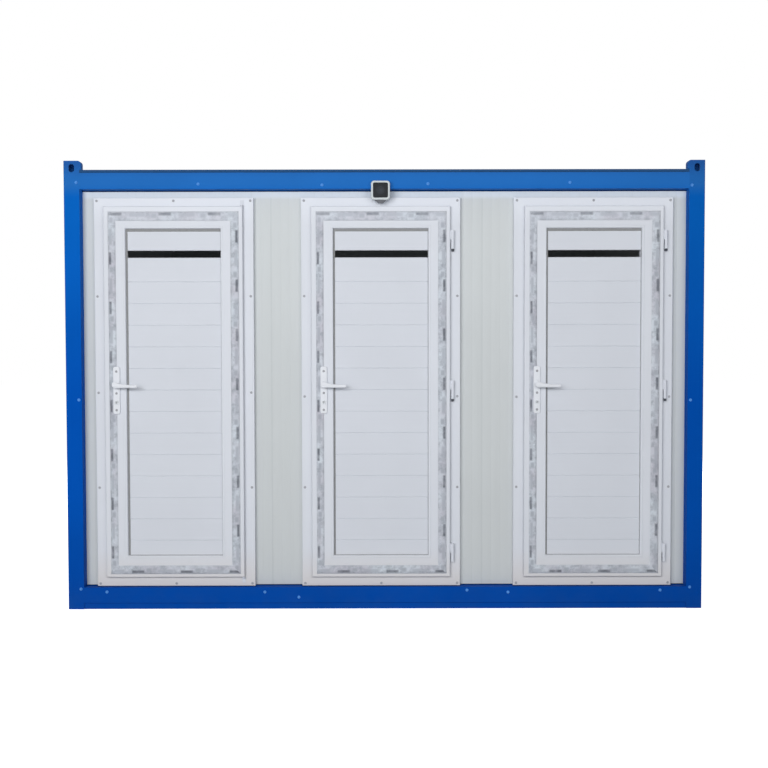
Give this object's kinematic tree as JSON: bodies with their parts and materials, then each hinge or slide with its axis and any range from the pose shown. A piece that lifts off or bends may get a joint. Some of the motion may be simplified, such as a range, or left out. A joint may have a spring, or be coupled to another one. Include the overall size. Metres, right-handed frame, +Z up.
{
  "type": "portable site cabin",
  "caption": "Portable site cabin with a blue folded steel frame, off-white panel walls, lifting lugs, a square lamp and outward opening boarded plastic doors with lever handles.",
  "frame": {"origin": "centre of the footprint at ground level", "axes": "+Z up, +X to the right seen from the front, the doors face -Y"},
  "size_m": [3.6, 2.452, 2.532],
  "materials": {
    "blue_steel": "semi-gloss paint",
    "zinc_steel": "galvanised",
    "floor_board": "plain sheet board",
    "wall_skin": "coated steel, satin",
    "white_plastic": "white window plastic",
    "white_metal": "white powder coat",
    "lamp_grey": "matt",
    "lamp_dark": "dark glossy face",
    "lamp_black": "matt"
  },
  "bodies": {
    "cabin": {"base_front_rail": "blue_steel", "base_back_rail": "blue_steel", "base_side_rails": "blue_steel", "front_left_post": "blue_steel", "front_right_post": "blue_steel", "back_left_post": "blue_steel", "back_right_post": "blue_steel", "roof_front_rail": "blue_steel", "roof_back_rail": "blue_steel", "roof_side_rails": "blue_steel", "lifting_lugs": "blue_steel", "floor_joists": "zinc_steel", "roof_sheet": "zinc_steel", "floor_deck": "floor_board", "roof_panel": "wall_skin", "front_wall_ends": "wall_skin", "front_wall_piers": "wall_skin", "front_wall_heads": "wall_skin", "back_wall": "wall_skin", "left_wall": "wall_skin", "right_wall": "wall_skin", "left_door_frame": "white_plastic", "middle_door_frame": "white_plastic", "right_door_frame": "white_plastic", "left_door_pivots": "white_metal", "middle_hinge_posts": "white_metal", "right_hinge_posts": "white_metal", "lamp_housing": "lamp_grey", "lamp_lens": "lamp_dark", "lamp_neck": "lamp_black"},
    "left_door": {"left_door_sash": "white_plastic", "left_door_boards": "white_plastic", "left_handle_plates": "white_metal"},
    "left_lever": {"left_lever": "white_metal"},
    "middle_door": {"middle_door_sash": "white_plastic", "middle_door_boards": "white_plastic", "middle_handle_plates": "white_metal", "middle_hinge_wings": "white_metal"},
    "middle_lever": {"middle_lever": "white_metal"},
    "right_door": {"right_door_sash": "white_plastic", "right_door_boards": "white_plastic", "right_handle_plates": "white_metal", "right_hinge_wings": "white_metal"},
    "right_lever": {"right_lever": "white_metal"}
  },
  "joints": [
    {"name": "left_door_hinge", "type": "hinge", "parent": "cabin", "child": "left_door", "pos_m": [-0.804, -1.187, 1.229], "axis": [0, 0, 1], "range_deg": [0, 110]},
    {"name": "middle_door_hinge", "type": "hinge", "parent": "cabin", "child": "middle_door", "pos_m": [0.384, -1.187, 1.229], "axis": [0, 0, 1], "range_deg": [0, 110]},
    {"name": "right_door_hinge", "type": "hinge", "parent": "cabin", "child": "right_door", "pos_m": [1.586, -1.187, 1.229], "axis": [0, 0, 1], "range_deg": [0, 110]},
    {"name": "left_lever_turn", "type": "hinge", "parent": "left_door", "child": "left_lever", "pos_m": [-1.512, -1.207, 1.274], "axis": [0, 1, 0], "range_deg": [0, 40], "stiffness_Nm_per_rad": 1.5, "springref_deg": -34.38},
    {"name": "middle_lever_turn", "type": "hinge", "parent": "middle_door", "child": "middle_lever", "pos_m": [-0.344, -1.207, 1.274], "axis": [0, 1, 0], "range_deg": [0, 40], "stiffness_Nm_per_rad": 1.5, "springref_deg": -34.38},
    {"name": "right_lever_turn", "type": "hinge", "parent": "right_door", "child": "right_lever", "pos_m": [0.858, -1.207, 1.274], "axis": [0, 1, 0], "range_deg": [0, 40], "stiffness_Nm_per_rad": 1.5, "springref_deg": -34.38}
  ]
}
